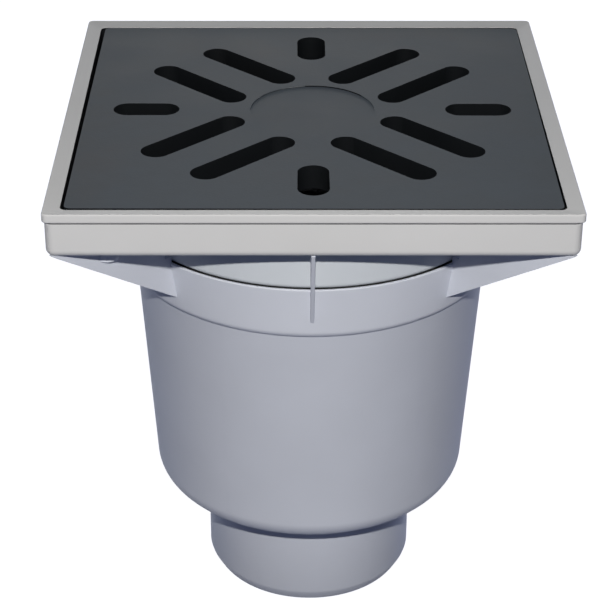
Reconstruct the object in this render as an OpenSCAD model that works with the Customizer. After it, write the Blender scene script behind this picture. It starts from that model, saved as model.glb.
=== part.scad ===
// Yard floor drain with a cast grate, silt bucket and flap odour trap.
// Units are millimetres. Origin: centre of the outlet's end face, Z up.
// Depths are measured down from the frame's top face.

/* [Frame and grate] */
// Outer width of the square frame
frame_width = 244; // [242:0.5:248]
// Radius of the frame's outer corners
frame_corner_r = 2.5; // [2:0.5:6]
// Height of the frame's lip
lip_height = 4.4; // [3.6:0.2:6]
// How far the rim falls towards the grate
rim_drop = 1.3; // [0.8:0.1:1.8]
// How far the skirt stands in from the lip
skirt_inset = 0.9; // [0.8:0.1:1.6]
// Radius of the skirt's upright corners
skirt_corner_r = 4; // [3:0.5:8]
// Radius of the skirt's lower edge
skirt_edge_r = 3.5; // [2:0.5:5]
// Thickness of the floor that carries the grate
pan_floor = 3.4; // [2.6:0.2:4]
// Width of the sloped rim round the opening
rim_width = 7.6; // [7:0.1:9]
// Gap between grate and frame on each side
grate_gap = 1.4; // [1.3:0.1:2]
// How far the loose grate lies to the right in that gap
grate_shift = 0.6; // [0:0.1:0.7]
// How far the loose grate is turned in that gap, in degrees
grate_turn = 0.2; // [0:0.05:0.25]
// Depth of the grate at its edge
grate_depth = 17.5; // [15:0.5:18]
// Thickness of the grate's plate
grate_plate = 12; // [9:0.5:13]
// Width of the grate's deep edge
grate_edge = 12; // [10:0.5:13]
// Radius of the grate's corners
grate_corner_r = 3; // [2:0.5:5]
// Width of the water slots
slot_width = 15; // [12:0.5:16]
// Radius of the plain sunk disc in the centre
disc_radius = 31; // [26:1:32]
// Depth of the sunk disc
disc_depth = 0.6; // [0.4:0.1:1]

/* [Neck] */
// Outer radius of the neck
neck_radius = 96; // [92:0.5:100]
// Depth of the neck's shoulder
neck_depth = 52.2; // [49:0.2:53]
// Radius of the neck's lower edge
neck_edge_r = 3; // [2:0.5:3.5]
// Wall of the neck
neck_wall = 3.5; // [3:0.25:4]
// How far the tail inside the collar stands in from the neck
tail_step = 6; // [5.8:0.1:6.5]
// Wall of the tail
tail_wall = 4.5; // [4:0.1:4.6]
// Depth of the tail's end
tail_depth = 72; // [71:0.5:73]
// Depth of the groove for the neck seal, cut into the tail
groove_cut = 1.7; // [1.4:0.1:2]

/* [Body] */
// How far the neck's shoulder sinks into the collar's mouth
rim_sink = 0.7; // [0.2:0.1:1]
// How far the collar's rim stands out from the neck
rim_lap = 1.75; // [1.5:0.05:2]
// How much narrower the collar is at its lower end
collar_fall = 4.25; // [3.8:0.05:4.3]
// Depth where the collar's lower rounding starts
collar_low_depth = 76; // [75.5:0.1:76.5]
// Radius of the collar's lower rounding
collar_edge_r = 5; // [4.6:0.1:5.2]
// How far the housing stands in from the collar
housing_step = 3.5; // [3.2:0.1:3.7]
// Fall of the housing's radius for each mm of depth
housing_taper = 0.0657; // [0.06:0.001:0.07]
// Depth of the housing's flat bottom
housing_depth = 208.5; // [207:0.5:212]
// Radius of the housing's lower edge
housing_edge_r = 13; // [11:0.5:14]
// Wall of the body
wall = 3; // [2.8:0.1:3.1]
// Thickness of the four corner fins
fin_thickness = 2.8; // [2.2:0.2:3.4]
// How far the corner fins end inside the frame's edge
fin_inset = 3.2; // [1:0.2:5]
// Thickness of the four ribs in the middle of the sides
rib_thickness = 2; // [1.6:0.2:2.6]
// How far the four side ribs end inside the frame's edge
rib_inset = 3; // [2:0.5:5]
// Radius of the round boss on one fin
boss_radius = 5.5; // [4:0.5:6.5]
// Depth of the boss's lower end
boss_depth = 35; // [30:1:40]
// Thickness of the inner ribs that carry the bucket
carrier_thickness = 2.6; // [2:0.2:3.2]
// How far those ribs reach in from the housing's outside
carrier_reach = 9.5; // [9:0.1:9.8]
// Depth of the top of those ribs
carrier_depth = 81; // [80.5:0.5:82]

/* [Outlet] */
// Outer diameter of the outlet spigot
spigot_diameter = 110; // [109.6:0.1:110.4]
// Length of the outlet spigot
spigot_length = 58; // [52:1:70]
// Wall of the spigot
spigot_wall = 4.8; // [4.6:0.1:4.9]
// Radial size of the end chamfer
spigot_chamfer = 3.8; // [2:0.2:4]
// Length of the end chamfer
spigot_chamfer_length = 7.2; // [5:0.2:9]

/* [Silt bucket] */
// Gap between the bucket's rim and the housing's inside
bucket_rim_gap = 2.8; // [2.4:0.1:3.4]
// Thickness of the bucket's rim
bucket_rim = 3; // [2.4:0.2:3.4]
// Gap between the bucket's wall and the ribs it hangs on
bucket_wall_gap = 1.5; // [1.2:0.1:2.2]
// Outer radius of the bucket's wall at its bottom
bucket_low_radius = 66; // [63:0.5:68]
// Gap between the bucket and the trap's grip
bucket_clearance = 5.5; // [4:0.5:8]
// Wall of the bucket
bucket_wall = 2.2; // [1.8:0.1:2.6]
// Number of overflow slots
bucket_slots = 16; // [12:4:16]
// Width of the overflow slots
bucket_slot_width = 5; // [4:0.5:6]
// Height of the overflow slots
bucket_slot_height = 20; // [14:1:22]
// Radius of the drain holes in the bottom
bucket_hole_r = 2.5; // [1.5:0.5:3]
// Depth of the handle's pivot under the bucket's rim top
pivot_drop = 10; // [9:0.5:11]
// Radius of the handle's pivot stubs
pivot_radius = 3; // [2.6:0.1:3.2]
// Thickness of the handle
handle_thickness = 5; // [4:0.5:5.5]
// Width of the handle's section
handle_width = 6; // [5:0.5:7]
// Reach of the handle from its pivots to its grip
handle_reach = 40; // [36:1:42]
// Half the length of the handle's grip
handle_half_grip = 46; // [42:1:48]

/* [Odour trap] */
// Outer radius of the plug in the outlet
plug_radius = 49; // [48.6:0.1:49.2]
// Length of the plug under its flange
plug_length = 22; // [20:0.5:24]
// Wall of the plug
plug_wall = 5.2; // [4.8:0.1:5.4]
// Radius of the flange on the body's floor
flange_radius = 60; // [58:0.5:62]
// Thickness of the flange
flange_height = 3.2; // [2.8:0.2:3.6]
// Outer radius of the trap's chamber
chamber_radius = 46; // [45.6:0.1:46.4]
// Wall of the trap's chamber
chamber_wall = 3; // [2.6:0.1:3.2]
// Height of the chamber over the body's floor
chamber_height = 39.5; // [39:0.5:40]
// Thickness of the lid's gasket
gasket = 1.5; // [1:0.1:2]
// Thickness of the lid
lid_thickness = 3; // [2.4:0.2:3.4]
// Height of the grip on the lid
grip_height = 14; // [12:0.5:14.5]
// Half the length of the grip
grip_half_length = 24; // [20:1:26]
// Radius of the lid screws' shanks
screw_radius = 1.9; // [1.6:0.1:2]
// Radius of the lid screws' heads
screw_head_radius = 3.6; // [3.2:0.1:4]

/* [Flap] */
// Lean of the seat from upright, in degrees
seat_lean = 12; // [10:1:14]
// Distance from the pin to the seat's face
seat_offset = 5; // [4.9:0.1:5.2]
// Radius of the hinge pin
pin_radius = 2; // [1.8:0.1:2.1]
// Radius of the flap's knuckles
knuckle_radius = 4.2; // [4:0.1:4.4]
// Half the width of the flap
flap_half_width = 23; // [22:0.5:23.5]
// Length of the flap under the pin
flap_length = 29; // [28.5:0.1:29.3]
// Thickness of the flap's plate
flap_plate = 3; // [2.6:0.1:3.2]
// Thickness of the rubber pad
pad_thickness = 2; // [1.6:0.1:2.2]
// Half the width of the port in the seat
port_half_width = 20; // [17:0.5:20.5]
// Height of the port in the seat
port_height = 19; // [16:0.5:19.5]

/* [Fits] */
// Gap between seated rubber and plastic lips
lip_gap = 0.2; // [0.1:0.05:0.3]
// Radial gap of turning pivots
pivot_gap = 0.08; // [0.04:0.01:0.1]
// Radial gap of pieces held fast
held_gap = 0.05; // [0.02:0.01:0.1]
// Gap between loose neighbours
loose_gap = 0.4; // [0.35:0.05:0.5]

/* [Hidden] */
$fn = 96;
tiny = 0.01;
arc_steps = 5;
total_height = housing_depth + spigot_length;
through = frame_width;
frame_half = frame_width / 2;
opening_half = frame_half - rim_width;
grate_width = 2 * (opening_half - grate_gap);
fin_reach = frame_half - fin_inset;
rib_reach = frame_half - rib_inset;
skirt_half = frame_half - skirt_inset;
pan_depth = rim_drop + grate_depth;
under_depth = pan_depth + pan_floor;
slot_r = slot_width / 2;
axial_far = grate_width / 2 - grate_edge - 9;
axial_near = axial_far - 18;
diagonal_near = 40.2;
diagonal_far = 88.5;
diagonal_offset = 17.5;
tail_radius = neck_radius - tail_step;
tail_bore = tail_radius - tail_wall;
neck_bore = neck_radius - neck_wall;
groove_radius = tail_radius - groove_cut;
groove_length = 8;
bead_length = 3;
tail_bevel = 1.5;
groove_low = neck_depth + groove_length;
bead_low = groove_low + bead_length;
seal_back = 2.3;
seal_lip = 0.8;
seal_gap = 0.2;
rim_bevel = 0.6;
rim_depth = neck_depth - rim_sink;
rim_radius = neck_radius + rim_lap;
collar_low_radius = rim_radius - collar_fall;
housing_radius = collar_low_radius - housing_step;
carrier_radius = housing_radius - carrier_reach;
carrier_low = housing_depth - 23.5;
fin_foot_depth = collar_low_depth - 3.4;
rib_foot_depth = collar_low_depth - 0.5;
web_step_depth = rim_depth + 4.5;
web_top_depth = neck_depth - 4;
web_gap = 0.8;
collar_slope = (rim_radius - collar_low_radius) / (collar_low_depth - rim_depth - rim_bevel);
collar_wall = wall * sqrt(1 + collar_slope * collar_slope);
arc_centre_r = collar_low_radius - collar_edge_r;
step_depth = collar_low_depth + collar_edge_r - wall;
crease_depth = collar_low_depth + sqrt(pow(collar_edge_r, 2) - pow(housing_radius - arc_centre_r, 2));
housing_wall = wall * sqrt(1 + housing_taper * housing_taper);
floor_depth = housing_depth - wall;
edge_centre_depth = housing_depth - housing_edge_r;
edge_centre_r = housing_r(edge_centre_depth) - housing_edge_r * sqrt(1 + housing_taper * housing_taper);
edge_angle = -atan(housing_taper);
spigot_radius = spigot_diameter / 2;
outlet_bore = spigot_radius - spigot_wall;
bucket_top = carrier_depth - bucket_rim;
bucket_rim_radius = housing_radius - wall - bucket_rim_gap;
bucket_top_radius = carrier_radius - bucket_wall_gap;
pivot_depth = bucket_top + pivot_drop;
slots_low = pivot_depth + 9 + bucket_slot_height;
pivot_face = bucket_top_radius - 6;
pivot_end = bucket_top_radius;
nib_x = 18;
plug_bore = plug_radius - plug_wall;
plug_groove_cut = 2.2;
plug_groove_start = 8;
plug_groove_length = 6;
plug_seal_back = 1.4;
plug_seal_lip = 0.6;
plug_groove = plug_radius - plug_groove_cut;
plug_groove_top = floor_depth + plug_groove_start;
plug_groove_low = plug_groove_top + plug_groove_length;
chamber_bore = chamber_radius - chamber_wall;
flange_top = floor_depth - flange_height;
chamber_top = floor_depth - chamber_height;
lid_under = chamber_top - gasket;
lid_top = lid_under - lid_thickness;
bucket_low = lid_top - grip_height - bucket_clearance;
bucket_height = bucket_low - bucket_top;
bucket_floor = bucket_low - bucket_wall;
lid_radius = 54.5;
screw_circle = 50;
screw_boss_r = 4.5;
screw_boss_length = 14;
screw_reach = 10;
window_half = port_half_width + 4;
window_reach = 26;
pin_depth = chamber_top + 6;
pin_x = -20;
pin_boss_r = 5;
pin_boss_near = 23.6;
pin_boss_far = 46;
clip_thickness = 1;
knuckle_near = 15;
knuckle_length = flap_half_width - knuckle_near;
port_top = 7.5;
pad_top = 5;
stop_x = -1;
stop_half = 2;
stop_y = 11;
stop_depth = pin_depth + 3;
boss_reach = 4;
boss_drop = 17;
flap_boss_r = 4.5;
flap_screw_length = pad_thickness + flap_plate + boss_reach - 2;
washer_radius = 7.5;
washer_height = 1.2;
boss_place = frame_half - 26.2;

// Height over the outlet's end for a depth under the frame's top
function up(d) = total_height - d;

// Outer radius of the collar and of the housing at a depth
function collar_r(d) = rim_radius - collar_slope * (d - rim_depth - rim_bevel);
function housing_r(d) = housing_radius - housing_taper * (d - crease_depth);
function collar_in(d) = collar_r(d) - collar_wall;
function housing_in(d) = housing_r(d) - housing_wall;

// Outer radius of the bucket's wall at a depth
function bucket_r(d) = bucket_top_radius
    - (bucket_top_radius - bucket_low_radius) * (d - bucket_top) / bucket_height;

// Points of an arc in the profile plane
function arc(r, z, size, from, to, steps = arc_steps) = [
    for (i = [0:steps]) [
        r + size * cos(from + (to - from) * i / steps),
        z + size * sin(from + (to - from) * i / steps)
    ]
];

// Square outline with round corners
module rounded_square(half, corner) {
    square([2 * half, 2 * (half - corner)], center = true);
    square([2 * (half - corner), 2 * half], center = true);
    for (x = [-1, 1], y = [-1, 1]) {
        translate([x * (half - corner), y * (half - corner)])
            circle(r = corner);
    }
}

// Square block from one side profile, the same on all four sides
module four_sided(points, half) {
    intersection() {
        rotate([90, 0, 0])
            linear_extrude(height = 2 * half, center = true)
                polygon(points);
        rotate([90, 0, 90])
            linear_extrude(height = 2 * half, center = true)
                polygon(points);
    }
}

// Upright web along +X from a side profile of radius and height
module web(points, thickness) {
    rotate([90, 0, 0])
        linear_extrude(height = thickness, center = true)
            polygon(points);
}

// Round-ended slot between two points on the X axis
module slot(from, to) {
    translate([from, -slot_r])
        square([to - from, slot_width]);
    translate([from, 0])
        circle(r = slot_r);
    translate([to, 0])
        circle(r = slot_r);
}

// Cast grate: plate with slots, deeper edge, plain sunk disc
module grate() {
    top = up(rim_drop);
    color("#50545a")
        translate([grate_shift, 0, 0])
            rotate(grate_turn)
                difference() {
                    translate([0, 0, top - grate_depth])
                        linear_extrude(height = grate_depth)
                            rounded_square(grate_width / 2, grate_corner_r);
                    translate([0, 0, top - grate_depth - 1])
                        linear_extrude(height = grate_depth - grate_plate + 1)
                            rounded_square(grate_width / 2 - grate_edge, grate_corner_r);
                    translate([0, 0, top - grate_depth - 1])
                        linear_extrude(height = grate_depth + 2)
                            grate_slots();
                    translate([0, 0, top - disc_depth])
                        cylinder(r = disc_radius, h = disc_depth + 1);
                }
}

module grate_slots() {
    for (a = [0:90:270]) {
        rotate(a)
            slot(axial_near, axial_far);
        rotate(a + 45) {
            translate([0, diagonal_offset])
                slot(diagonal_near, diagonal_far);
            translate([0, -diagonal_offset])
                slot(diagonal_near, diagonal_far);
        }
    }
}

// Frame: sloped rim, lip, skirt, pan and neck in one moulding
module frame() {
    top = up(0);
    low = up(under_depth);
    skirt = concat(
        [[-skirt_half, top - lip_height / 2]],
        arc(-skirt_half + skirt_edge_r, low + skirt_edge_r, skirt_edge_r, 180, 270),
        arc(skirt_half - skirt_edge_r, low + skirt_edge_r, skirt_edge_r, 270, 360),
        [[skirt_half, top - lip_height / 2]]
    );
    slope = (frame_half - opening_half) / rim_drop;
    rim_pit = [
        [-frame_half - slope, top + 1],
        [-opening_half, top - rim_drop],
        [opening_half, top - rim_drop],
        [frame_half + slope, top + 1]
    ];
    neck = concat(
        [[neck_bore, up(under_depth) + 1], [neck_radius, up(under_depth) + 1]],
        arc(neck_radius - neck_edge_r, up(neck_depth) + neck_edge_r, neck_edge_r, 0, -90),
        [
            [groove_radius, up(neck_depth)],
            [groove_radius, up(groove_low)],
            [tail_radius, up(groove_low)],
            [tail_radius, up(bead_low)],
            [tail_radius - tail_bevel, up(tail_depth)],
            [tail_bore, up(tail_depth)],
            [tail_bore, up(neck_depth + 2)],
            [neck_bore, up(neck_depth - 5)]
        ]
    );
    color("#cfd1d3") {
        difference() {
            union() {
                translate([0, 0, top - lip_height])
                    linear_extrude(height = lip_height)
                        rounded_square(frame_half, frame_corner_r);
                intersection() {
                    four_sided(skirt, frame_half);
                    translate([0, 0, low])
                        linear_extrude(height = under_depth)
                            rounded_square(skirt_half, skirt_corner_r);
                }
            }
            four_sided(rim_pit, 2 * frame_half);
            translate([0, 0, up(pan_depth)])
                linear_extrude(height = pan_depth + 1)
                    rounded_square(opening_half, grate_corner_r);
            translate([0, 0, low - 1])
                cylinder(r = neck_bore, h = under_depth);
        }
        rotate_extrude()
            polygon(neck);
    }
}

// Rubber ring with two lips under the neck's shoulder, against the collar
module neck_seal() {
    back = groove_radius + seal_back;
    upper = neck_depth + 0.15 * groove_length;
    lower = neck_depth + 0.8 * groove_length;
    color("#2a2b2d")
        rotate_extrude()
            polygon([
                [groove_radius, up(neck_depth + seal_gap)],
                [back, up(neck_depth + seal_gap)],
                [collar_in(upper) - lip_gap, up(upper - seal_lip)],
                [collar_in(upper) - lip_gap, up(upper)],
                [back, up(upper + 1.5 * seal_lip)],
                [collar_in(lower) - lip_gap, up(lower - seal_lip)],
                [collar_in(lower) - lip_gap, up(lower)],
                [back, up(groove_low - seal_gap)],
                [groove_radius, up(groove_low - seal_gap)]
            ]);
}

// Drain body: collar, fins, ribs, housing, floor and outlet in one moulding
module body() {
    shell = concat(
        [
            [outlet_bore, up(total_height)],
            [spigot_radius - spigot_chamfer, up(total_height)],
            [spigot_radius, up(total_height - spigot_chamfer_length)],
            [spigot_radius, up(housing_depth)]
        ],
        arc(edge_centre_r, up(edge_centre_depth), housing_edge_r, -90, edge_angle, 8),
        [[housing_r(crease_depth), up(crease_depth)]],
        arc(arc_centre_r, up(collar_low_depth), collar_edge_r,
            -acos((housing_radius - arc_centre_r) / collar_edge_r), 0),
        [
            [rim_radius, up(rim_depth + rim_bevel)],
            [rim_radius - rim_bevel, up(rim_depth)],
            [neck_radius + 0.5, up(rim_depth)],
            [collar_in(rim_depth + 2.5), up(rim_depth + 2.5)],
            [collar_in(collar_low_depth), up(collar_low_depth)]
        ],
        [
            [arc_centre_r + 0.5, up(step_depth)],
            [housing_in(step_depth), up(step_depth)]
        ],
        arc(edge_centre_r, up(edge_centre_depth), housing_edge_r - wall, edge_angle, -90, 6),
        [[outlet_bore, up(floor_depth)]]
    );
    color("#c3c7cd") {
        rotate_extrude()
            polygon(shell);
        for (a = [45:90:315]) {
            rotate(a)
                corner_fin();
        }
        for (a = [0:90:270]) {
            rotate(a)
                side_rib();
        }
        for (a = [0:60:300]) {
            rotate(a)
                carrier_rib();
        }
        rotate(225)
            translate([boss_place * sqrt(2), 0, up(boss_depth)])
                cylinder(r = boss_radius, h = boss_depth - under_depth);
    }
}

module corner_fin() {
    out = fin_reach * sqrt(2);
    web([
        [collar_in(fin_foot_depth) + 0.6 * wall, up(fin_foot_depth)],
        [out, up(under_depth + 0.4)],
        [out, up(under_depth)],
        [neck_radius + 5, up(under_depth)],
        [neck_radius + 5, up(web_top_depth)],
        [neck_radius + web_gap, up(web_top_depth)],
        [neck_radius + web_gap, up(rim_depth + 0.3)],
        [collar_in(web_step_depth) + 0.4 * wall, up(web_step_depth)]
    ], fin_thickness);
}

module side_rib() {
    web([
        [collar_in(rib_foot_depth) + 0.5 * wall, up(rib_foot_depth)],
        [rib_reach, up(under_depth + 0.5)],
        [rib_reach, up(under_depth)],
        [neck_radius + web_gap, up(under_depth)],
        [neck_radius + web_gap, up(rim_depth + 0.3)],
        [collar_in(web_step_depth) + 0.4 * wall, up(web_step_depth)]
    ], rib_thickness);
}

module carrier_rib() {
    web([
        [carrier_radius, up(carrier_depth)],
        [housing_r(carrier_depth) - 1, up(carrier_depth)],
        [housing_r(carrier_low) - 1, up(carrier_low)],
        [carrier_radius, up(carrier_low)]
    ], carrier_thickness);
}

// Silt bucket: hangs by its rim, overflow slots above, drain holes below
module bucket() {
    color("#33363a") {
        difference() {
            union() {
                rotate_extrude()
                    polygon([
                        [0, up(bucket_low)],
                        [bucket_low_radius, up(bucket_low)],
                        [bucket_r(carrier_depth), up(carrier_depth)],
                        [bucket_rim_radius, up(carrier_depth)],
                        [bucket_rim_radius, up(bucket_top + 0.6)],
                        [bucket_rim_radius - 0.6, up(bucket_top)],
                        [bucket_top_radius - bucket_wall, up(bucket_top)],
                        [bucket_r(bucket_floor) - bucket_wall, up(bucket_floor)],
                        [0, up(bucket_floor)]
                    ]);
                for (y = [-1, 1]) {
                    pivot_pad(y);
                    handle_nib(y, 1);
                    handle_nib(y, -1);
                }
            }
            translate([0, 0, up(pivot_depth)])
                rotate([90, 0, 0])
                    cylinder(r = pivot_radius + pivot_gap, h = 4 * pivot_end, center = true);
            for (i = [0:bucket_slots - 1]) {
                rotate((i + 0.5) * 360 / bucket_slots)
                    translate([bucket_low_radius / 2, -bucket_slot_width / 2, up(slots_low)])
                        cube([bucket_low_radius, bucket_slot_width, bucket_slot_height]);
            }
            for (ring = [[6, 18], [12, 36], [18, 54]], i = [0:ring[0] - 1]) {
                rotate(i * 360 / ring[0])
                    translate([ring[1], 0, up(bucket_low) - 1])
                        cylinder(r = bucket_hole_r, h = bucket_wall + 2);
            }
        }
    }
}

module pivot_pad(y) {
    translate([0, y * (pivot_face + pivot_end) / 2, up(pivot_depth)])
        rotate([90, 0, 0])
            cylinder(r = pivot_radius + 4, h = pivot_end - pivot_face, center = true);
}

module handle_nib(y, x) {
    face = pivot_depth + handle_thickness / 2 + loose_gap;
    reach = sqrt(pow(bucket_r(face + 5) - bucket_wall / 2, 2) - pow(nib_x + 3, 2));
    translate([x * nib_x - 3, y > 0 ? reach - 11 : -reach, up(face + 4)])
        cube([6, 11, 4]);
}

// Low bail with two pivot stubs, lying towards +X
module bucket_handle() {
    arm_y = pivot_face - loose_gap - handle_width / 2;
    color("#d8dadc")
        translate([0, 0, up(pivot_depth)]) {
            linear_extrude(height = handle_thickness, center = true) {
                translate([handle_reach - handle_width / 2, -handle_half_grip])
                    square([handle_width, 2 * handle_half_grip]);
                for (y = [-1, 1]) {
                    translate([handle_reach, y * handle_half_grip])
                        circle(r = handle_width / 2);
                    translate([0, y * arm_y])
                        circle(r = handle_width / 2);
                    handle_arm([0, y * arm_y], [handle_reach, y * handle_half_grip]);
                }
            }
            for (y = [-1, 1]) {
                translate([0, y * (arm_y + pivot_end + 0.6) / 2, 0])
                    rotate([90, 0, 0])
                        cylinder(r = pivot_radius, h = pivot_end + 0.6 - arm_y, center = true);
            }
        }
}

module handle_arm(from, to) {
    run = to - from;
    long = norm(run);
    side = [-run[1], run[0]] / long * handle_width / 2;
    polygon([from + side, to + side, to - side, from - side]);
}

// Places a thing in the flap's own frame: pin on Y, flap hanging along -Z, seat on the -X side
module at_flap() {
    translate([pin_x, 0, up(pin_depth)])
        rotate([0, -seat_lean, 0])
            children();
}

// Trap housing: plug, flange, chamber and slanted seat wall with its port
module trap_body() {
    seat_foot = pin_x - seat_offset / cos(seat_lean) + (flange_top - pin_depth) * tan(seat_lean);
    color("#8d9299") {
        difference() {
            union() {
                rotate_extrude()
                    polygon([
                        [plug_bore, up(floor_depth + plug_length)],
                        [plug_radius - 1.2, up(floor_depth + plug_length)],
                        [plug_radius, up(floor_depth + plug_length - 2.5)],
                        [plug_radius, up(plug_groove_low)],
                        [plug_groove, up(plug_groove_low)],
                        [plug_groove, up(plug_groove_top)],
                        [plug_radius, up(plug_groove_top)],
                        [plug_radius, up(floor_depth)],
                        [flange_radius, up(floor_depth)],
                        [flange_radius, up(flange_top)],
                        [chamber_radius, up(flange_top)],
                        [chamber_radius, up(chamber_top)],
                        [chamber_bore, up(chamber_top)],
                        [chamber_bore, up(flange_top + 1)]
                    ]);
                intersection() {
                    translate([0, 0, up(floor_depth)])
                        cylinder(r = chamber_radius - chamber_wall / 2, h = chamber_height);
                    at_flap()
                        translate([-seat_offset - chamber_wall, -chamber_radius, -2 * chamber_height])
                            cube([chamber_wall, 2 * chamber_radius, 4 * chamber_height]);
                }
                intersection() {
                    translate([0, 0, up(floor_depth)])
                        cylinder(r = chamber_radius - chamber_wall / 2, h = flange_height);
                    translate([-through, -chamber_radius, up(floor_depth) - 1])
                        cube([through + seat_foot, 2 * chamber_radius, flange_height + 2]);
                }
                for (a = [45:90:315]) {
                    rotate(a)
                        translate([screw_circle, 0, up(chamber_top + screw_boss_length)])
                            cylinder(r = screw_boss_r, h = screw_boss_length + gasket);
                }
                for (y = [-1, 1]) {
                    translate([pin_x, y * (pin_boss_near + pin_boss_far) / 2, up(pin_depth)])
                        rotate([90, 0, 0])
                            cylinder(r = pin_boss_r, h = pin_boss_far - pin_boss_near, center = true);
                }
            }
            at_flap()
                translate([-seat_offset - 3 * chamber_wall, -port_half_width, -port_top - port_height])
                    cube([6 * chamber_wall, 2 * port_half_width, port_height]);
            translate([-flange_radius, -window_half, up(flange_top) + 2])
                cube([window_reach, 2 * window_half, flange_top - chamber_top - 8]);
            translate([pin_x, 0, up(pin_depth)])
                rotate([90, 0, 0])
                    cylinder(r = pin_radius + held_gap, h = through, center = true);
            for (a = [45:90:315]) {
                rotate(a)
                    translate([screw_circle, 0, up(chamber_top + screw_boss_length - 2)])
                        cylinder(r = screw_radius + held_gap, h = 2 * screw_boss_length);
            }
        }
    }
}

// Rubber ring with two lips between plug and outlet bore
module trap_seal() {
    back = plug_groove + plug_seal_back;
    tip = outlet_bore - lip_gap;
    lower = plug_groove_low - 0.23 * plug_groove_length;
    upper = plug_groove_top + 0.17 * plug_groove_length;
    color("#2a2b2d")
        rotate_extrude()
            polygon([
                [plug_groove, up(plug_groove_low - seal_gap)],
                [back, up(plug_groove_low - seal_gap)],
                [tip, up(lower)],
                [tip, up(lower - plug_seal_lip)],
                [back, up(lower - 2.5 * plug_seal_lip)],
                [tip, up(upper + plug_seal_lip)],
                [tip, up(upper)],
                [back, up(plug_groove_top + seal_gap)],
                [plug_groove, up(plug_groove_top + seal_gap)]
            ]);
}

// Flat gasket between chamber and lid
module lid_seal() {
    color("#2a2b2d")
        translate([0, 0, up(chamber_top)])
            difference() {
                cylinder(r = chamber_radius - 0.4, h = gasket);
                translate([0, 0, -1])
                    cylinder(r = chamber_bore, h = gasket + 2);
            }
}

// Lid: disc, grip on top, two stops for the flap underneath
module trap_lid() {
    color("#8d9299") {
        difference() {
            translate([0, 0, up(lid_under)])
                cylinder(r = lid_radius, h = lid_thickness);
            for (a = [45:90:315]) {
                rotate(a)
                    translate([screw_circle, 0, up(lid_under) - 1])
                        cylinder(r = screw_radius + 0.3, h = lid_thickness + 2);
            }
        }
        translate([0, 0, up(lid_top)])
            rotate([90, 0, 0])
                linear_extrude(height = 5, center = true)
                    difference() {
                        union() {
                            translate([-grip_half_length, -1])
                                square([2 * grip_half_length, grip_height - 3]);
                            translate([-grip_half_length + 4, -1])
                                square([2 * grip_half_length - 8, grip_height + 1]);
                            for (x = [-1, 1]) {
                                translate([x * (grip_half_length - 4), grip_height - 4])
                                    circle(r = 4);
                            }
                        }
                        translate([-grip_half_length + 7, 0])
                            square([2 * grip_half_length - 14, grip_height - 5]);
                    }
        for (y = [-1, 1]) {
            translate([stop_x, y * stop_y - stop_half, up(stop_depth)])
                cube([3, 2 * stop_half, stop_depth - lid_under + 1]);
        }
    }
}

// Screws of the lid, head on the lid, shank in its boss
module lid_screw(index) {
    color("#b9bcc0")
        rotate(45 + 90 * (index - 1))
            translate([screw_circle, 0, up(lid_top)])
                difference() {
                    union() {
                        cylinder(r1 = screw_head_radius, r2 = screw_head_radius - 0.8, h = 2.4);
                        translate([0, 0, -lid_thickness - gasket - screw_reach])
                            cylinder(r = screw_radius, h = lid_thickness + gasket + screw_reach + 0.5);
                    }
                    translate([-0.5, -5, 1.2])
                        cube([1, 10, 2]);
                }
}

module lid_screw_1() {
    lid_screw(1);
}

module lid_screw_2() {
    lid_screw(2);
}

module lid_screw_3() {
    lid_screw(3);
}

module lid_screw_4() {
    lid_screw(4);
}

// Flap plate with two knuckles and the boss for its screw
module flap() {
    plate_back = -seat_offset + pad_thickness + flap_plate;
    color("#d8dadc")
        at_flap()
            difference() {
                union() {
                    translate([-seat_offset + pad_thickness, -flap_half_width, -flap_length])
                        cube([flap_plate, 2 * flap_half_width, flap_length - pad_top]);
                    for (y = [-1, 1]) {
                        translate([0, y * (knuckle_near + flap_half_width) / 2, 0])
                            rotate([90, 0, 0])
                                cylinder(r = knuckle_radius, h = knuckle_length, center = true);
                        translate([-seat_offset + pad_thickness,
                            (y * (knuckle_near + flap_half_width) - knuckle_length) / 2,
                            -pad_top - 3])
                            cube([flap_plate + 1, knuckle_length, pad_top + 3]);
                    }
                    translate([plate_back - 1, 0, -boss_drop])
                        rotate([0, 90, 0])
                            cylinder(r = flap_boss_r, h = boss_reach + 1);
                }
                rotate([90, 0, 0])
                    cylinder(r = pin_radius + pivot_gap, h = 4 * flap_half_width, center = true);
                translate([-seat_offset, 0, -boss_drop])
                    rotate([0, 90, 0])
                        cylinder(r = screw_radius + held_gap, h = flap_screw_length + 1);
            }
}

// Rubber pad that closes the port
module flap_seal() {
    color("#2a2b2d")
        at_flap()
            difference() {
                translate([-seat_offset, -flap_half_width, -flap_length])
                    cube([pad_thickness, 2 * flap_half_width, flap_length - pad_top]);
                translate([-seat_offset - 1, 0, -boss_drop])
                    rotate([0, 90, 0])
                        cylinder(r = screw_radius + held_gap, h = pad_thickness + 2);
            }
}

// Washer that clamps the pad, inside the port
module flap_washer() {
    color("#b9bcc0")
        at_flap()
            translate([-seat_offset - washer_height, 0, -boss_drop])
                rotate([0, 90, 0])
                    difference() {
                        cylinder(r = washer_radius, h = washer_height);
                        translate([0, 0, -1])
                            cylinder(r = screw_radius + held_gap, h = washer_height + 2);
                    }
}

// Screw of the washer
module flap_screw() {
    color("#b9bcc0")
        at_flap()
            translate([-seat_offset - washer_height, 0, -boss_drop])
                rotate([0, 90, 0])
                    difference() {
                        union() {
                            translate([0, 0, -2.2])
                                cylinder(r1 = screw_head_radius - 0.8, r2 = screw_head_radius, h = 2.2);
                            translate([0, 0, -0.5])
                                cylinder(r = screw_radius, h = washer_height + flap_screw_length + 0.5);
                        }
                        translate([-0.5, -5, -3.2])
                            cube([1, 10, 2]);
                    }
}

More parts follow.
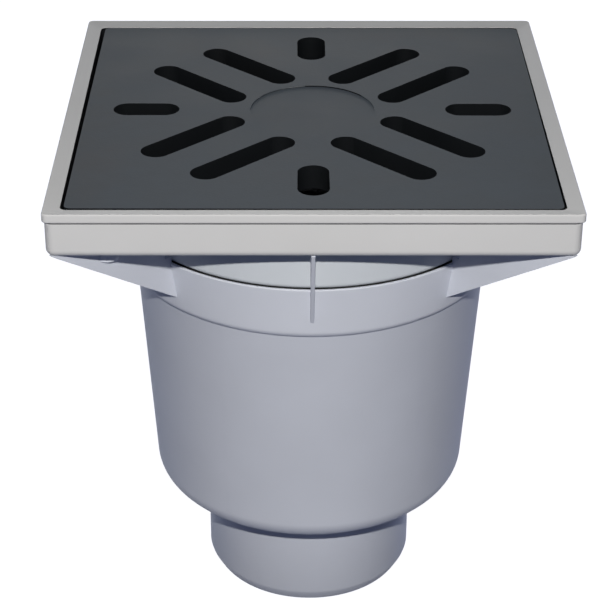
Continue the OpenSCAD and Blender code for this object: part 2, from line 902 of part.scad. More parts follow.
// Steel pin of the flap, with a groove at each end for its clip
module hinge_pin() {
    end = pin_boss_far + 3;
    color("#b9bcc0")
        translate([pin_x, 0, up(pin_depth)])
            rotate([90, 0, 0])
                difference() {
                    cylinder(r = pin_radius, h = 2 * end, center = true);
                    for (y = [-1, 1]) {
                        translate([0, 0, y * (pin_boss_far + 0.3 + clip_thickness / 2)])
                            difference() {
                                cylinder(r = 2 * pin_radius, h = clip_thickness + 0.2, center = true);
                                cylinder(r = pin_radius - 0.5, h = clip_thickness + 1, center = true);
                            }
                    }
                }
}

// Clip in the pin's groove, open on one side
module pin_clip(y) {
    color("#8f9296")
        translate([pin_x, y * (pin_boss_far + 0.3 + clip_thickness / 2), up(pin_depth)])
            rotate([90, 0, 0])
                linear_extrude(height = clip_thickness, center = true)
                    difference() {
                        circle(r = pin_radius + 2.4);
                        circle(r = pin_radius - 0.5 + held_gap);
                        translate([0, -pin_radius + 0.7])
                            square([10, 2 * (pin_radius - 0.7)]);
                    }
}

module pin_clip_1() {
    pin_clip(-1);
}

module pin_clip_2() {
    pin_clip(1);
}

grate();
frame();
neck_seal();
body();
bucket();
bucket_handle();
trap_body();
trap_seal();
lid_seal();
trap_lid();
lid_screw_1();
lid_screw_2();
lid_screw_3();
lid_screw_4();
flap();
flap_seal();
flap_washer();
flap_screw();
hinge_pin();
pin_clip_1();
pin_clip_2();
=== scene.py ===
import math

import bpy
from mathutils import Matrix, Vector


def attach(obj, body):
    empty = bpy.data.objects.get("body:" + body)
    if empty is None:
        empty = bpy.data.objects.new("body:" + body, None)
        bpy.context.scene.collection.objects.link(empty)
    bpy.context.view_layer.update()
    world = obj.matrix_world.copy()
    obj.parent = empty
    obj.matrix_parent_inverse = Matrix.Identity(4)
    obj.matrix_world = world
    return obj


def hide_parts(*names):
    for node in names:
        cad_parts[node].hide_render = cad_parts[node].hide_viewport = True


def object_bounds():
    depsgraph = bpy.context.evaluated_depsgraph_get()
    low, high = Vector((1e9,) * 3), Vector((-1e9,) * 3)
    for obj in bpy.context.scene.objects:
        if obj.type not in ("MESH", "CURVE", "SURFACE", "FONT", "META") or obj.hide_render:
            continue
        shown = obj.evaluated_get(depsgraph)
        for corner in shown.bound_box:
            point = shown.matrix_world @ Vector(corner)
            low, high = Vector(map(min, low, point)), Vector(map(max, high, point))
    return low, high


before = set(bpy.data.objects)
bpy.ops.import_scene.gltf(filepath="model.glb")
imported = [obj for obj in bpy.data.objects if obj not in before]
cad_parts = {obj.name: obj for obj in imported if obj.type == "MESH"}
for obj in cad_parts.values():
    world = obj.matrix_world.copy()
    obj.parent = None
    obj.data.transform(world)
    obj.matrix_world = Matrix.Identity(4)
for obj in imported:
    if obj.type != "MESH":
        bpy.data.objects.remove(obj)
cad_low, cad_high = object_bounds()
mm = 0.001
top = cad_high.z


# ---- Drain body -------------------------------------------------------------------
# The drain's body is one injection moulding in pale blue-grey polypropylene: a collar
# that takes the frame's neck, four corner fins, four thin side ribs, the tapered
# housing with the silt and trap inside, and the outlet spigot that enters the pipe.

skirt_depth = 22.2 * mm
skirt_underside = top - skirt_depth
# The sizes of turned profiles are plain millimetres, which below() brings into the frame.
spigot_radius = 55
spigot_bore = 50.2
collar_radius = 97.75
collar_low_radius = 93.5
collar_depth = 52.1
collar_low_depth = 76
housing_radius = 90
housing_start = 80.77
housing_taper = 0.0657
housing_lean = -3.8
housing_depth = 208.5
bottom_centre = (69.43, 195.5)
bottom_edge = 13
wall = 3
fin_thickness = 2.8 * mm
fin_edge = 0.5 * mm
rib_thickness = 2 * mm
rib_edge = 0.4 * mm
carrier_thickness = 2.6 * mm
boss_radius = 5.5 * mm
boss_height = 12.8 * mm
boss_place = -95.8 * mm
turn_steps = 192
turn_smoothing = math.radians(32)
weld_distance = mm / 500


def nothing_selected():
    """Clears the selection, so that the next step works on its own piece only."""
    bpy.ops.object.select_all(action="DESELECT")


def below(points):
    """Profile points from radius and depth under the top face, in millimetres."""
    return [(radius * mm, top - depth * mm) for radius, depth in points]


def on_collar(depth):
    """The point of the collar's outer face at a depth."""
    slope = (collar_radius - collar_low_radius) / (collar_low_depth - collar_depth)
    return collar_radius - slope * (depth - collar_depth), depth


def on_housing(depth):
    """The point of the tapered housing's outer face at a depth."""
    return housing_radius - housing_taper * (depth - housing_start), depth


def arc(centre, size, start, end, steps):
    """Points of an arc round a point of radius and depth, angles in degrees from
    outwards."""
    radius, height = below([centre])[0]
    points = []
    for step in range(steps + 1):
        angle = math.radians(start + (end - start) * step / steps)
        across, up = math.cos(angle), math.sin(angle)
        points.append((radius + size * mm * across, height + size * mm * up))
    return points


def trace(name, points):
    """Draws a closed outline in the XZ plane, one extruded corner after another."""
    nothing_selected()
    bpy.ops.mesh.primitive_plane_add(size=mm)
    piece = bpy.context.object
    piece.name = name
    bpy.ops.object.mode_set(mode="EDIT")
    bpy.ops.mesh.select_mode(type="VERT")
    bpy.ops.mesh.select_all(action="SELECT")
    bpy.ops.mesh.merge(type="CENTER")
    bpy.ops.transform.translate(value=(points[0][0], 0, points[0][1]))
    for here, there in zip(points, points[1:]):
        step = (there[0] - here[0], 0, there[1] - here[1])
        bpy.ops.mesh.extrude_region_move(TRANSFORM_OT_translate={"value": step})
    bpy.ops.object.mode_set(mode="OBJECT")
    for vertex in piece.data.vertices:
        vertex.select = vertex.index in (0, len(points) - 1)
    bpy.ops.object.mode_set(mode="EDIT")
    bpy.ops.mesh.edge_face_add()
    bpy.ops.mesh.select_all(action="SELECT")
    return piece


def turn(name, points):
    """Turns a closed outline round the upright axis, as on a lathe."""
    piece = trace(name, points)
    bpy.ops.mesh.spin(steps=turn_steps, angle=math.tau, center=(0, 0, 0), axis=(0, 0, 1))
    bpy.ops.mesh.select_all(action="SELECT")
    bpy.ops.mesh.remove_doubles(threshold=weld_distance)
    bpy.ops.mesh.normals_make_consistent(inside=False)
    bpy.ops.object.mode_set(mode="OBJECT")
    bpy.ops.object.shade_smooth_by_angle(angle=turn_smoothing)
    return piece


def plate(name, points, thickness, azimuth):
    """Fills an outline, gives it a thickness and turns it about the upright axis."""
    piece = trace(name, points)
    bpy.ops.mesh.edge_face_add()
    bpy.ops.transform.translate(value=(0, -thickness / 2, 0))
    bpy.ops.mesh.extrude_region_move(TRANSFORM_OT_translate={"value": (0, thickness, 0)})
    bpy.ops.mesh.select_all(action="SELECT")
    bpy.ops.mesh.normals_make_consistent(inside=False)
    bpy.ops.object.mode_set(mode="OBJECT")
    piece.rotation_euler = (0, 0, math.radians(azimuth))
    bpy.ops.object.transform_apply(location=True, rotation=True, scale=True)
    return piece


def cylinder(radius, depth, centre, vertices):
    """An upright cylinder whose centre lies at a point."""
    nothing_selected()
    bpy.ops.mesh.primitive_cylinder_add(
        vertices=vertices, radius=radius, depth=depth, location=centre
    )
    bpy.ops.object.transform_apply(location=True, rotation=True, scale=True)
    return bpy.context.object


def flat_faces(piece):
    """Lets roundings shade smoothly while the big faces stay flat."""
    bpy.ops.object.shade_smooth_by_angle(angle=math.radians(40))
    flatter = piece.modifiers.new("Flat faces", "WEIGHTED_NORMAL")
    flatter.keep_sharp = True
    bpy.ops.object.modifier_apply(modifier=flatter.name)


def finish_edges(piece, width, segments=2, angle=30):
    """Rounds the sharp edges of a solid and keeps its faces flat."""
    nothing_selected()
    piece.select_set(True)
    bpy.context.view_layer.objects.active = piece
    bevel = piece.modifiers.new("Rounded edges", "BEVEL")
    bevel.width = width
    bevel.segments = segments
    bevel.limit_method = "ANGLE"
    bevel.angle_limit = math.radians(angle)
    bevel.use_clamp_overlap = True
    bevel.miter_outer = "MITER_ARC"
    bpy.ops.object.modifier_apply(modifier=bevel.name)
    flat_faces(piece)


def join(name, pieces):
    """Joins pieces into the first of them."""
    nothing_selected()
    for piece in pieces:
        piece.select_set(True)
    bpy.context.view_layer.objects.active = pieces[0]
    bpy.ops.object.join()
    pieces[0].name = name
    return pieces[0]


class Tree:
    """Short calls for the nodes of one shader tree. A node's inputs are given by label
    or number, each as a value or as the output of another node."""

    def __init__(self, tree):
        self.nodes = tree.nodes
        self.links = tree.links

    def feed(self, socket, value):
        """Links an output to a socket, or sets the socket's own value."""
        if isinstance(value, bpy.types.NodeSocket):
            self.links.new(value, socket)
        else:
            socket.default_value = value

    def add(self, kind, inputs, **settings):
        """A node with its settings made and its inputs fed."""
        node = self.nodes.new(kind)
        for name, value in settings.items():
            setattr(node, name, value)
        for label, value in inputs.items():
            self.feed(node.inputs[label], value)
        return node

    def place(self):
        """The shaded point in the piece's own coordinates."""
        return self.add("ShaderNodeTexCoord", {}).outputs["Object"]

    def noise(self, place, scale, detail=2, roughness=0.5):
        """Cloudy noise from nought to one; the scale is in waves a metre."""
        inputs = {"Vector": place, "Scale": scale, "Detail": detail, "Roughness": roughness}
        return self.add("ShaderNodeTexNoise", inputs).outputs["Fac"]

    def remap(self, value, low, high, to_low=0, to_high=1):
        """Stretches what lies between low and high, and clamps the rest."""
        inputs = {"Value": value, "From Min": low, "From Max": high}
        inputs.update({"To Min": to_low, "To Max": to_high})
        return self.add("ShaderNodeMapRange", inputs).outputs["Result"]

    def compute(self, operation, *values):
        """One step of arithmetic."""
        inputs = dict(enumerate(values))
        return self.add("ShaderNodeMath", inputs, operation=operation).outputs[0]

    def mix(self, factor, first, second, blend="MIX"):
        """Two colours blended by a factor."""
        inputs = {"Factor": factor, "A": first, "B": second}
        node = self.add("ShaderNodeMix", inputs, data_type="RGBA", blend_type=blend)
        return node.outputs["Result"]


def socket_kind(is_colour):
    return "NodeSocketColor" if is_colour else "NodeSocketFloat"


def new_group(name, inputs):
    """A shader node group with named inputs, and the outputs of its input node."""
    group = bpy.data.node_groups.new(name, "ShaderNodeTree")
    for label, value in inputs.items():
        kind = socket_kind(isinstance(value, tuple))
        socket = group.interface.new_socket(label, in_out="INPUT", socket_type=kind)
        socket.default_value = value
    return group, group.nodes.new("NodeGroupInput").outputs


def put_out(group, results):
    """Gives a group its named outputs."""
    for label in results:
        kind = socket_kind(label == "Colour")
        group.interface.new_socket(label, in_out="OUTPUT", socket_type=kind)
    end = group.nodes.new("NodeGroupOutput")
    for label, value in results.items():
        group.links.new(value, end.inputs[label])


def moulded_grain():
    """Moulded plastic: soft cloudy shade, fine eroded grain, a few dull handling marks."""
    group, given = new_group(
        "Moulded grain",
        {"Colour": (0.5, 0.5, 0.5, 1), "Cloud": 0.05, "Marks": 0.3, "Base Roughness": 0.42},
    )
    tree = Tree(group)
    place = tree.place()
    darkest = tree.compute("SUBTRACT", 1, given["Cloud"])
    cloud = tree.noise(place, scale=22, detail=3)
    shade = tree.remap(cloud, low=0.3, high=0.7, to_low=darkest)
    tint = tree.mix(1, given["Colour"], shade, "MULTIPLY")

    stretch = {"Vector": place, "Scale": (1, 1, 0.25)}
    along = tree.add("ShaderNodeMapping", stretch).outputs["Vector"]
    scratches = tree.noise(along, scale=160, detail=6, roughness=0.7)
    marks = tree.remap(scratches, low=0.62, high=0.74, to_high=given["Marks"])
    dull_grey = (0.12, 0.12, 0.12, 1)
    put_out(
        group,
        {
            "Colour": tree.mix(marks, tint, dull_grey, "SCREEN"),
            "Roughness": tree.compute("MULTIPLY_ADD", marks, 0.5, given["Base Roughness"]),
            "Height": tree.noise(place, scale=1400),
        },
    )
    return group


def finished(name, group, values, bump, shine=0.5):
    """A Principled material that takes colour, roughness and bump from a group."""
    material = bpy.data.materials.new(name)
    material.use_nodes = True
    tree = Tree(material.node_tree)
    surface = tree.nodes["Principled BSDF"].inputs
    finish = tree.add("ShaderNodeGroup", values, node_tree=group).outputs
    relief = {"Strength": bump, "Distance": 0.1 * mm, "Height": finish["Height"]}
    tree.feed(surface["Specular IOR Level"], shine)
    tree.feed(surface["Base Color"], finish["Colour"])
    tree.feed(surface["Roughness"], finish["Roughness"])
    tree.feed(surface["Normal"], tree.add("ShaderNodeBump", relief).outputs["Normal"])
    return material


def wear(piece, material):
    """Gives a piece one material in place of any other."""
    piece.data.materials.clear()
    piece.data.materials.append(material)


spigot_tip = [
    (spigot_bore * mm, 0),
    (51.2 * mm, 0),
    (51.8 * mm, 0.8 * mm),
    (54.5 * mm, 5.6 * mm),
    (spigot_radius * mm, 7.2 * mm),
]
spigot_root = below([(spigot_radius, 209.3), (55.8, housing_depth)])
collar_step = below([on_housing(81.6), (90.25, 80.9)])
collar_mouth = below([on_collar(54), (97.7, 52), (97.3, 51.5), (96.6, 51.5), (94.4, 54)])
collar_inside = below([(90.45, collar_low_depth), (89, 78), (87.2, 78.3)])
shell_profile = (
    spigot_tip
    + spigot_root
    + arc(bottom_centre, bottom_edge, -90, housing_lean, 14)
    + collar_step
    + arc((88.5, collar_low_depth), 5, -68, 0, 8)
    + collar_mouth
    + collar_inside
    + arc(bottom_centre, bottom_edge - wall, housing_lean, -90, 8)
    + below([(spigot_bore, housing_depth - wall)])
)
body = turn("drain_shell", shell_profile)

in_collar = below([(96.9, 51.8), (95.2, 56)])
fin_foot = below([(92.8, 72.6), (168, 22.6)])
fin_head = [(168 * mm, skirt_underside), (101 * mm, skirt_underside)]
fin_notch = below([(101, 48.2), (96.9, 48.2)])
fin_profile = fin_foot + fin_head + fin_notch + in_collar
rib_foot = below([(92.1, 75.5), (119, 22.7)])
rib_head = [(119 * mm, skirt_underside), (96.9 * mm, skirt_underside)]
rib_profile = rib_foot + rib_head + in_collar
root = 1 * mm
carrier_outside = [(x - root, z) for x, z in below([on_housing(81), on_housing(185)])]
carrier_profile = below([(80.5, 81)]) + carrier_outside + below([(80.5, 185)])
webs = []
for azimuth in (45, 135, 225, 315):
    webs.append(plate("corner_fin", fin_profile, fin_thickness, azimuth))
    finish_edges(webs[-1], fin_edge)
for azimuth in (0, 90, 180, 270):
    webs.append(plate("side_rib", rib_profile, rib_thickness, azimuth))
    finish_edges(webs[-1], rib_edge)
for azimuth in range(0, 360, 60):
    webs.append(plate("bucket_carrier", carrier_profile, carrier_thickness, azimuth))
    finish_edges(webs[-1], rib_edge)

boss_centre = (boss_place, boss_place, skirt_underside - boss_height / 2)
boss = cylinder(boss_radius, boss_height, boss_centre, vertices=48)
finish_edges(boss, rib_edge, segments=3)

body = join("drain_body", [body, boss] + webs)
moulded = moulded_grain()
body_grey = finished(
    "Blue-grey polypropylene",
    moulded,
    {"Colour": (0.64, 0.665, 0.73, 1), "Cloud": 0.05, "Marks": 0.15, "Base Roughness": 0.5},
    bump=0.25,
    shine=0.05,
)
wear(body, body_grey)
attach(body, "drain")
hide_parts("body")


# ---- Neck seal --------------------------------------------------------------------
# A black rubber ring in the groove of the neck's tail. Its two lips press on the
# collar's inner wall, so that the frame can be turned and levelled in the body.


def soft_black():
    """Moulded rubber: dull black with a grey bloom and a fine dry texture."""
    group, given = new_group("Rubber bloom", {"Bloom": 0.4})
    tree = Tree(group)
    place = tree.place()
    dust = tree.noise(place, scale=90, detail=5)
    bloom = tree.compute("MULTIPLY", dust, given["Bloom"])
    black = (0.012, 0.012, 0.013, 1)
    bloomed = (0.07, 0.07, 0.072, 1)
    put_out(
        group,
        {
            "Colour": tree.mix(bloom, black, bloomed),
            "Roughness": tree.remap(dust, low=0, high=1, to_low=0.55, to_high=0.8),
            "Height": tree.noise(place, scale=900),
        },
    )
    return group


rubber = finished("Black rubber", soft_black(), {"Bloom": 0.5}, bump=0.3, shine=0.35)
wear(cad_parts["neck_seal"], rubber)


# ---- Frame ------------------------------------------------------------------------
# The square frame is a second moulding in the same plastic, a little whiter. Its rim
# falls towards the grate, its lip overhangs the skirt by about a millimetre, and its
# round neck drops into the body's collar and carries the seal.

frame_half = 122 * mm
skirt_half = 121.1 * mm
opening_half = 114.4 * mm
lip_height = 4.4 * mm
lip_underside = top - lip_height
lip_corner = 2.5 * mm
lip_top_edge = 0.8 * mm
lip_low_edge = 0.7 * mm
lip_overlap = 1 * mm
skirt_corner = 4 * mm
skirt_edge = 3.5 * mm
rim_drop = 1.3 * mm
pan_depth = 18.8 * mm
pan_corner = 3 * mm
bore_cut = 10 * mm
frame_edge = 0.3 * mm
bore_radius = 92.5


def block(name, half, low, high, corner, corner_steps=6):
    """A square block on the axis with round upright corners."""
    nothing_selected()
    bpy.ops.mesh.primitive_cube_add(size=1, location=(0, 0, (low + high) / 2))
    piece = bpy.context.object
    piece.name = name
    piece.scale = (2 * half, 2 * half, high - low)
    bpy.ops.object.transform_apply(location=True, rotation=True, scale=True)
    bpy.ops.object.mode_set(mode="EDIT")
    bpy.ops.mesh.select_mode(type="EDGE")
    bpy.ops.mesh.select_all(action="DESELECT")
    bpy.ops.object.mode_set(mode="OBJECT")
    for edge in piece.data.edges:
        a, b = (piece.data.vertices[i].co for i in edge.vertices)
        edge.select = abs(a.z - b.z) > (high - low) / 2
    bpy.ops.object.mode_set(mode="EDIT")
    bpy.ops.mesh.bevel(offset=corner, segments=corner_steps, affect="EDGES")
    bpy.ops.object.mode_set(mode="OBJECT")
    return piece


def select_level(piece, level):
    """Selects the flat face of a block that lies at one height, in edit mode."""
    bpy.ops.object.mode_set(mode="EDIT")
    bpy.ops.mesh.select_mode(type="FACE")
    bpy.ops.mesh.select_all(action="DESELECT")
    bpy.ops.object.mode_set(mode="OBJECT")
    for face in piece.data.polygons:
        face.select = abs(face.center.z - level) < mm / 20 and abs(face.normal.z) > 0.9
    bpy.ops.object.mode_set(mode="EDIT")


def round_level(piece, level, radius, steps):
    """Rounds the edges of the flat face that lies at one height."""
    select_level(piece, level)
    bpy.ops.mesh.bevel(offset=radius, segments=steps, affect="EDGES")
    bpy.ops.object.mode_set(mode="OBJECT")


def combine(piece, tool, operation):
    """Adds a tool's solid to a piece or cuts it away, and uses the tool up."""
    nothing_selected()
    piece.select_set(True)
    bpy.context.view_layer.objects.active = piece
    step = piece.modifiers.new("Combine", "BOOLEAN")
    step.operation = operation
    step.object = tool
    step.solver = "EXACT"
    bpy.ops.object.modifier_apply(modifier=step.name)
    bpy.data.objects.remove(tool, do_unlink=True)


lip = block("lip", frame_half, lip_underside, top, lip_corner)
round_level(lip, top, lip_top_edge, steps=4)
round_level(lip, lip_underside, lip_low_edge, steps=4)
rim_frame = block(
    "skirt", skirt_half, skirt_underside, lip_underside + lip_overlap, skirt_corner, 8
)
round_level(rim_frame, skirt_underside, skirt_edge, steps=6)
combine(rim_frame, lip, "UNION")

pan = block("pan_hollow", opening_half, top - pan_depth, top - rim_drop, pan_corner)
select_level(pan, top - rim_drop)
wider = (2 * frame_half - opening_half) / opening_half
bpy.ops.mesh.extrude_region_move(TRANSFORM_OT_translate={"value": (0, 0, 2 * rim_drop)})
bpy.ops.transform.resize(value=(wider, wider, 1), center_override=(0, 0, top))
bpy.ops.object.mode_set(mode="OBJECT")
combine(rim_frame, pan, "DIFFERENCE")

bore = cylinder(bore_radius * mm, bore_cut, (0, 0, skirt_underside), vertices=192)
combine(rim_frame, bore, "DIFFERENCE")
finish_edges(rim_frame, frame_edge, angle=40)

neck_outside = below([(bore_radius, 19), (96, 20.6)]) + arc((93, 49.2), 3, 0, -90, 10)
tail_outside = below([(88.3, 52.2), (88.3, 60.2), (90, 60.2), (90, 63.2), (88.5, 72)])
neck_inside = below([(85.5, 72), (85.5, 54.2), (bore_radius, 47.2)])
neck = turn("neck", neck_outside + tail_outside + neck_inside)
rim_frame = join("square_frame", [rim_frame, neck])


def frame_tint_and_painted_shade():
    """Bleached above, the moulding's first tint on the underside, painted shade in the gap
    round the grate and a thin painted shade line in the corner under the lip."""
    group, given = new_group(
        "Aged frame with painted shade",
        {
            "Bleached": (0.5, 0.5, 0.5, 1),
            "Sheltered": (0.5, 0.5, 0.6, 1),
            "Shelter Level": 0.2,
            "Painted Shade": (0.01, 0.01, 0.012, 1),
            "Gap Half Width": 0.1,
            "Gap Level": 0.2,
            "Shade Line": 0.5,
            "Shade Line Level": 0.2,
        },
    )
    tree = Tree(group)
    split = tree.add("ShaderNodeSeparateXYZ", {"Vector": tree.place()}).outputs
    across = tree.compute("ABSOLUTE", split["X"])
    along = tree.compute("ABSOLUTE", split["Y"])
    farther = tree.compute("MAXIMUM", across, along)
    sheltered = tree.compute("LESS_THAN", split["Z"], given["Shelter Level"])
    tint = tree.mix(sheltered, given["Bleached"], given["Sheltered"])
    # Painted shade: inside the opening, below the grate's top and above the shelter level,
    # the frame is darkened towards the shade colour, as in the shaded gap round the grate.
    inside = tree.compute("LESS_THAN", farther, given["Gap Half Width"])
    under = tree.compute("LESS_THAN", split["Z"], given["Gap Level"])
    unsheltered = tree.compute("SUBTRACT", 1, sheltered)
    gap_in_shade = tree.compute("MULTIPLY", inside, tree.compute("MULTIPLY", under, unsheltered))
    # Painted shade: a thin dark line just under the lip, in the corner between lip and
    # skirt, drawn with the shade colour.
    above = tree.compute("SUBTRACT", split["Z"], given["Shade Line Level"])
    away = tree.compute("ABSOLUTE", above)
    line = tree.remap(
        away, low=0.12 * mm, high=0.45 * mm, to_low=given["Shade Line"], to_high=0
    )
    painted_dark = tree.compute("MAXIMUM", gap_in_shade, line)
    put_out(group, {"Colour": tree.mix(painted_dark, tint, given["Painted Shade"])})
    return group


frame_grain = {"Cloud": 0.04, "Marks": 0.15, "Base Roughness": 0.5}
frame_grey = finished(
    "Pale grey polypropylene",
    moulded,
    {"Colour": (0.6, 0.6, 0.6, 1), **frame_grain},
    bump=0.25,
    shine=0.05,
)
frame_tree = Tree(frame_grey.node_tree)
first_tint = frame_tree.add(
    "ShaderNodeGroup", {"Colour": (0.59, 0.625, 0.66, 1), **frame_grain}, node_tree=moulded
)
# Besides the bleached and first tints, this group paints shade into the gap round the grate
# and a dark line under the lip.
tinted_and_shaded = frame_tree.add(
    "ShaderNodeGroup",
    {
        "Bleached": frame_tree.nodes["Group"].outputs["Colour"],
        "Sheltered": first_tint.outputs["Colour"],
        "Shelter Level": skirt_underside + 0.2 * mm,
        "Painted Shade": (0.012, 0.013, 0.015, 1),
        "Gap Half Width": opening_half + 0.1 * mm,
        "Gap Level": top - rim_drop - 0.3 * mm,
        "Shade Line": 0.85,
        "Shade Line Level": lip_underside - 0.55 * mm,
    },
    node_tree=frame_tint_and_painted_shade(),
)
frame_surface = frame_tree.nodes["Principled BSDF"].inputs
frame_tree.feed(frame_surface["Base Color"], tinted_and_shaded.outputs["Colour"])
wear(rim_frame, frame_grey)
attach(rim_frame, "drain")
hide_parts("frame")


# ---- Trap housing -----------------------------------------------------------------
# The odour trap stands in the outlet. Its housing is one moulding in mid grey
# polypropylene, a plug below and a round chamber above with the slanted seat wall.


def round_edges(piece, width):
    """Modifiers that weld the loose triangles, round the edges and keep faces flat."""
    weld = piece.modifiers.new("Weld", "WELD")
    weld.merge_threshold = weld_distance
    bevel = piece.modifiers.new("Rounded edges", "BEVEL")
    bevel.width = width
    bevel.segments = 2
    bevel.limit_method = "ANGLE"
    bevel.angle_limit = math.radians(40)
    bevel.harden_normals = True


trap_grey = finished(
    "Mid grey polypropylene",
    moulded,
    {"Colour": (0.2, 0.215, 0.235, 1), "Cloud": 0.08, "Marks": 0.4, "Base Roughness": 0.45},
    bump=0.3,
)
wear(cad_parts["trap_body"], trap_grey)
round_edges(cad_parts["trap_body"], width=0.35 * mm)


# ---- Trap seal --------------------------------------------------------------------
# A black rubber lip ring in the plug's groove. It presses on the outlet's bore, holds
# the trap in place and keeps smells from passing it.

wear(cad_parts["trap_seal"], rubber)


# ---- Flap -------------------------------------------------------------------------
# The flap is moulded in uncoloured polypropylene with its two knuckles on it. It leans
# on the seat by its own weight, and water swings it open about the hinge pin.

natural = finished(
    "Natural polypropylene",
    moulded,
    {"Colour": (0.66, 0.65, 0.61, 1), "Cloud": 0.05, "Marks": 0.3, "Base Roughness": 0.38},
    bump=0.25,
)
wear(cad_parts["flap"], natural)
round_edges(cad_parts["flap"], width=0.3 * mm)


# ---- Flap seal --------------------------------------------------------------------
# A pad cut from black rubber sheet. It lies on the flap's closing side, and the screw
# through its middle holds it.

wear(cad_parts["flap_seal"], rubber)


# ---- Flap washer ------------------------------------------------------------------
# A round washer punched from stainless steel, which spreads the screw's grip over
# the rubber pad.


def turned_steel():
    """Stainless steel: fine turning lines, a little smear, otherwise bright."""
    group, given = new_group("Turned steel", {"Smear": 0.1})
    tree = Tree(group)
    place = tree.place()
    smear = tree.noise(place, scale=140, detail=4)
    dull = (0.55, 0.55, 0.54, 1)
    bright = (0.7, 0.7, 0.69, 1)
    put_out(
        group,
        {
            "Colour": tree.mix(smear, dull, bright),
            "Roughness": tree.compute("MULTIPLY_ADD", smear, given["Smear"], 0.22),
            "Height": tree.noise(place, scale=2500),
        },
    )
    return group


steel = finished("Stainless steel", turned_steel(), {"Smear": 0.25}, bump=0.15)
steel.node_tree.nodes["Principled BSDF"].inputs["Metallic"].default_value = 1
wear(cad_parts["flap_washer"], steel)


# ---- Flap screw -------------------------------------------------------------------
# A slotted stainless screw with a low round head. It goes through washer and pad and
# bites into the boss on the flap.

wear(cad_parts["flap_screw"], steel)


# ---- Hinge pin --------------------------------------------------------------------
# A straight stainless pin with a groove turned near each end. It is pushed in from
# the side, through the housing's bosses and the flap's two knuckles.

wear(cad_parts["hinge_pin"], steel)


# ---- Pin clips --------------------------------------------------------------------
# Two open clips stamped from stainless sheet. They snap into the pin's grooves outside
# the housing and keep the pin in place.

for node in ("pin_clip_1", "pin_clip_2"):
    wear(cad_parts[node], steel)


# ---- Lid seal ---------------------------------------------------------------------
# A flat ring cut from black rubber sheet. It lies on the chamber's upper edge, and
# the screws press the lid on it.

wear(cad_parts["lid_seal"], rubber)


# ---- Trap lid ---------------------------------------------------------------------
# A round lid moulded in the housing's grey plastic, with the grip that pulls the trap
# out and, beneath, the two stops that halt the flap. Four screws hold it down.

wear(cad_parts["trap_lid"], trap_grey)
round_edges(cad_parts["trap_lid"], width=0.4 * mm)


# ---- Lid screws -------------------------------------------------------------------
# Four slotted stainless screws with low round heads. They go through the lid near its
# edge and bite into the bosses on the housing.

for node in ("lid_screw_1", "lid_screw_2", "lid_screw_3", "lid_screw_4"):
    wear(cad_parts[node], steel)


# ---- Silt bucket ------------------------------------------------------------------
# A dark moulded bucket hangs by its rim on the body's inner ribs and keeps back silt
# and leaves, while the water leaves by its slots and holes.

bucket_dark = finished(
    "Charcoal polypropylene",
    moulded,
    {"Colour": (0.028, 0.03, 0.033, 1), "Cloud": 0.2, "Marks": 0.3, "Base Roughness": 0.5},
    bump=0.3,
)
wear(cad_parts["bucket"], bucket_dark)
round_edges(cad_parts["bucket"], width=0.3 * mm)


# ---- Bucket handle ----------------------------------------------------------------
# A low bail moulded in uncoloured polypropylene. Its two stubs are sprung into holes
# under the bucket's rim, and it swings over from one side to the other.

wear(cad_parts["bucket_handle"], natural)
round_edges(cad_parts["bucket_handle"], width=0.6 * mm)


# ---- Grate ------------------------------------------------------------------------
# The grate is one sand casting in grey iron with a thin black dip coat. Twelve round-
# ended slots run towards its centre, where a plain round field is sunk. It lies loose.

grate_half = 113 * mm
grate_top = top - rim_drop
grate_depth = 17.5 * mm
plate_depth = 12 * mm
grate_edge = 12 * mm
grate_corner = 3 * mm
grate_shift = 0.6 * mm
grate_turn = math.radians(0.2)
edge_round = 1.1 * mm
field_radius = 31 * mm
field_depth = 0.6 * mm
slot_radius = 7.5 * mm
cutter_length = 30 * mm
straight_slot = (0, 0, 74 * mm, 92 * mm)
left_slot = (45, 17.5 * mm, 40.2 * mm, 88.5 * mm)
right_slot = (45, -17.5 * mm, 40.2 * mm, 88.5 * mm)

grate_underside = grate_top - grate_depth
grate = block("grate_plate", grate_half, grate_underside, grate_top, grate_corner)
hollow = block(
    "underside_hollow",
    grate_half - grate_edge,
    grate_underside - 5 * mm,
    grate_top - plate_depth,
    grate_corner,
)
combine(grate, hollow, "DIFFERENCE")


def slot_cutter(azimuth, offset, near, far):
    """A round-ended prism: a cylinder whose outer half is drawn out along the slot."""
    centre = (near, offset, grate_top - 8 * mm)
    cutter = cylinder(slot_radius, cutter_length, centre, vertices=40)
    bpy.ops.object.mode_set(mode="EDIT")
    bpy.ops.mesh.select_mode(type="VERT")
    bpy.ops.mesh.select_all(action="DESELECT")
    bpy.ops.object.mode_set(mode="OBJECT")
    for vertex in cutter.data.vertices:
        vertex.select = vertex.co.x > near - mm / 100
    bpy.ops.object.mode_set(mode="EDIT")
    bpy.ops.transform.translate(value=(far - near, 0, 0))
    bpy.ops.object.mode_set(mode="OBJECT")
    cutter.rotation_euler = (0, 0, math.radians(azimuth))
    bpy.ops.object.transform_apply(location=True, rotation=True, scale=True)
    return cutter


for quarter in (0, 90, 180, 270):
    for azimuth, offset, near, far in (straight_slot, left_slot, right_slot):
        cutter = slot_cutter(quarter + azimuth, offset, near, far)
        combine(grate, cutter, "DIFFERENCE")
finish_edges(grate, edge_round, segments=3, angle=40)

field = cylinder(field_radius, 2 * field_depth, (0, 0, grate_top), vertices=128)
combine(grate, field, "DIFFERENCE")
flat_faces(grate)
bpy.ops.object.mode_set(mode="EDIT")
bpy.ops.mesh.select_all(action="SELECT")
bpy.ops.transform.rotate(value=grate_turn, orient_axis="Z", center_override=(0, 0, 0))
bpy.ops.transform.translate(value=(grate_shift, 0, 0))
bpy.ops.object.mode_set(mode="OBJECT")
grate.name = "cast_grate"


